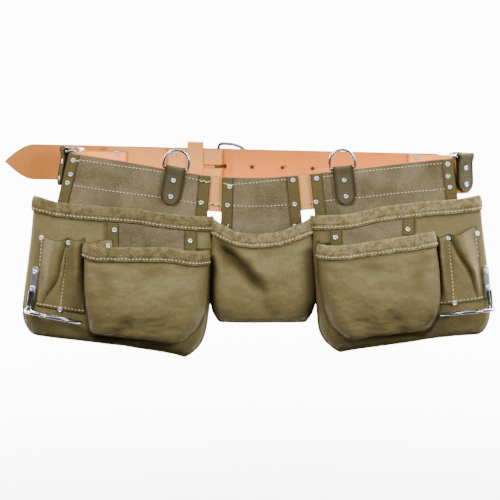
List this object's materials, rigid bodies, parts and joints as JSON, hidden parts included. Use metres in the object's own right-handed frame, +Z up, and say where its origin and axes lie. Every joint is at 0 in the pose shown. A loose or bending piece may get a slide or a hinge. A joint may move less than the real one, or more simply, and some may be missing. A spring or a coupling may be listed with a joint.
{
  "type": "carpenter nail apron",
  "caption": "Leather tool belt with hanging nail pouches, tool loops, wire hammer rings and D-rings on a buckled tan belt.",
  "frame": {"origin": "middle of the belt loop, half way between the band and the back straps and at belt height", "axes": "+Z up, -Y toward the front where the pouches hang, +X to the right as seen from the front"},
  "size_m": [0.6952, 0.1951, 0.3022],
  "materials": {
    "tan_leather": "vegetable-tanned belt leather with a satin face",
    "brown_leather": "oiled olive-brown leather, soft shine",
    "suede": "matt split suede",
    "tab_leather": "dark grey-brown leather, satin",
    "chrome": "bright nickel plate",
    "zinc": "zinc-plated steel"
  },
  "bodies": {
    "apron": {"billet_strap": "tan_leather", "binding_center": "suede", "binding_left": "suede", "binding_right": "suede", "buckle_frame": "chrome", "buckle_prong": "chrome", "buckle_strap": "tan_leather", "front_band": "tan_leather", "hammer_loop_left": "zinc", "hammer_loop_left_rivet_1": "zinc", "hammer_loop_left_rivet_2": "zinc", "hammer_loop_right": "zinc", "hammer_loop_right_rivet_1": "zinc", "hammer_loop_right_rivet_2": "zinc", "keeper_loop": "tan_leather", "panel_center": "suede", "panel_left": "suede", "panel_right": "suede", "pouch_center": "brown_leather", "pouch_left": "brown_leather", "pouch_right": "brown_leather", "ring_tab_end_left": "tab_leather", "ring_tab_end_right": "tab_leather", "ring_tab_front_left": "tab_leather", "ring_tab_front_right": "tab_leather", "small_back_left": "suede", "small_back_right": "suede", "small_binding_left": "suede", "small_binding_right": "suede", "small_pouch_left": "brown_leather", "small_pouch_right": "brown_leather", "tab_rivet_end_left_1": "zinc", "tab_rivet_end_left_2": "zinc", "tab_rivet_end_right_1": "zinc", "tab_rivet_end_right_2": "zinc", "tab_rivet_front_left_1": "zinc", "tab_rivet_front_left_2": "zinc", "tab_rivet_front_right_1": "zinc", "tab_rivet_front_right_2": "zinc", "tool_holster_left": "brown_leather", "tool_holster_right": "brown_leather"},
    "ring_front_left": {"d_ring_front_left": "chrome"},
    "ring_front_right": {"d_ring_front_right": "chrome"},
    "ring_end_left": {"d_ring_end_left": "chrome"},
    "ring_end_right": {"d_ring_end_right": "chrome"}
  },
  "joints": [
    {"name": "ring_front_left_swing", "type": "hinge", "parent": "apron", "child": "ring_front_left", "pos_m": [-0.12295, -0.0337, -0.00363], "axis": [0.9848, 0, -0.1739], "range_deg": [-88, 160]},
    {"name": "ring_front_right_swing", "type": "hinge", "parent": "apron", "child": "ring_front_right", "pos_m": [0.11095, -0.0337, -0.00261], "axis": [0.994, 0, 0.1093], "range_deg": [-88, 160]},
    {"name": "ring_end_left_swing", "type": "hinge", "parent": "apron", "child": "ring_end_left", "pos_m": [-0.28276, -0.01202, 0.02221], "axis": [0.2839, -0.9575, -0.0501], "range_deg": [-2, 232]},
    {"name": "ring_end_right_swing", "type": "hinge", "parent": "apron", "child": "ring_end_right", "pos_m": [0.28374, -0.02498, 0.01423], "axis": [0.7877, 0.6154, 0.0275], "range_deg": [-2, 240]}
  ]
}
